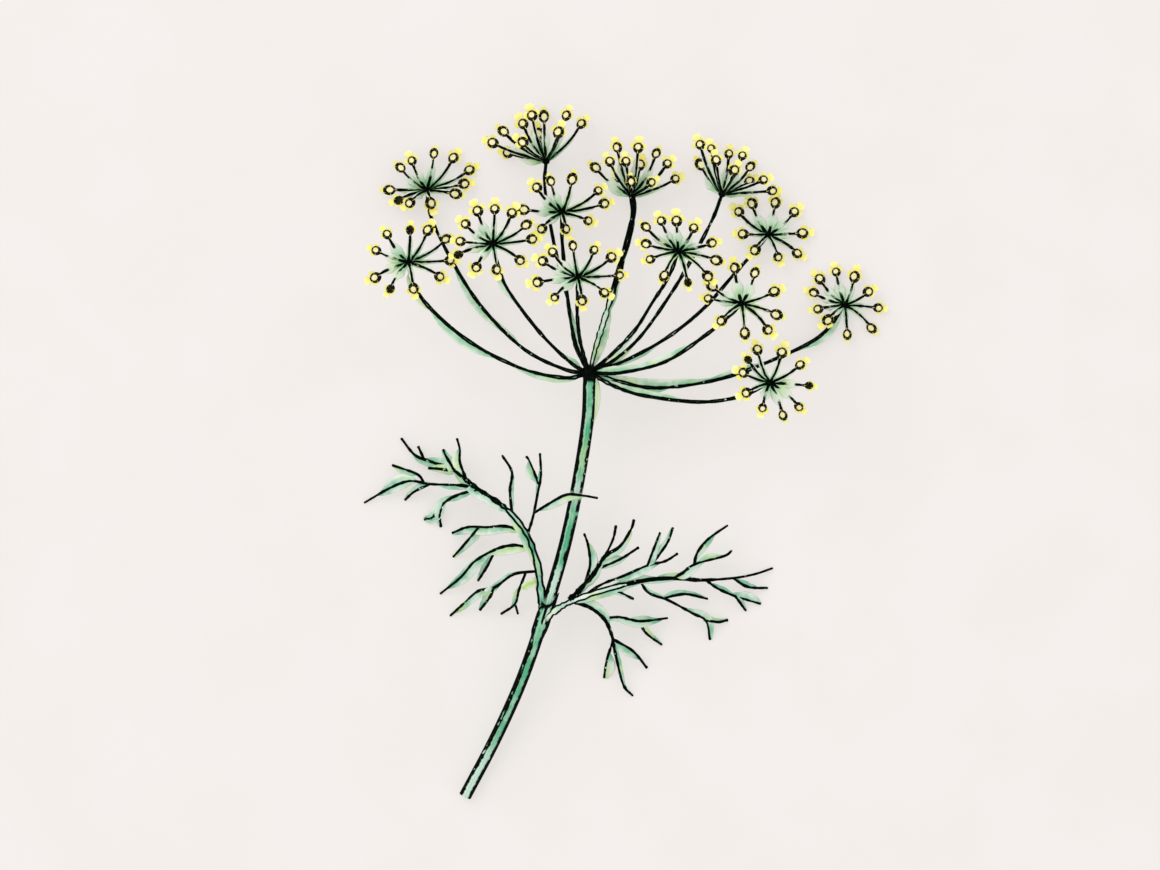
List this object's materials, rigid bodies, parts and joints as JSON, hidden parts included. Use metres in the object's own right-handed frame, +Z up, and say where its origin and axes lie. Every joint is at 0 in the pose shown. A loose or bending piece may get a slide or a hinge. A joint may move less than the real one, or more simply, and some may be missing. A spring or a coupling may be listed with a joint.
{
  "type": "flowering dill stem",
  "caption": "Cut flowering dill stem lying down: a ribbed stem, two feathery leaves and an umbel of small yellow umbellets on thin curved rays.",
  "frame": {"origin": "on the surface the stem lies on, under the middle of its bounding box", "axes": "+Y from the cut end of the stem towards the umbel; +Z up from the surface; +X to the right of the stem seen from above"},
  "size_m": [0.1298, 0.1719, 0.0401],
  "materials": {
    "stem": "satin",
    "ray": "satin",
    "leaf": "matte",
    "floret": "matte"
  },
  "bodies": {
    "root": {"stem": "stem", "ray_1": "ray", "ray_2": "ray", "ray_3": "ray", "ray_4": "ray", "ray_5": "ray", "ray_6": "ray", "ray_7": "ray", "ray_8": "ray", "ray_9": "ray", "ray_10": "ray", "ray_11": "ray", "ray_12": "ray", "ray_13": "ray", "umbellet_1": "floret", "umbellet_2": "floret", "umbellet_3": "floret", "umbellet_4": "floret", "umbellet_5": "floret", "umbellet_6": "floret", "umbellet_7": "floret", "umbellet_8": "floret", "umbellet_9": "floret", "umbellet_10": "floret", "umbellet_11": "floret", "umbellet_12": "floret", "umbellet_13": "floret", "leaf_left_stalk": "leaf", "leaf_left_leaflet_1": "leaf", "leaf_left_leaflet_2": "leaf", "leaf_left_leaflet_3": "leaf", "leaf_left_leaflet_4": "leaf", "leaf_left_leaflet_5": "leaf", "leaf_left_leaflet_6": "leaf", "leaf_left_leaflet_7": "leaf", "leaf_left_leaflet_8": "leaf", "leaf_right_stalk": "leaf", "leaf_right_leaflet_1": "leaf", "leaf_right_leaflet_2": "leaf", "leaf_right_leaflet_3": "leaf", "leaf_right_leaflet_4": "leaf", "leaf_right_leaflet_5": "leaf", "leaf_right_leaflet_6": "leaf", "leaf_right_leaflet_7": "leaf"}
  },
  "joints": []
}
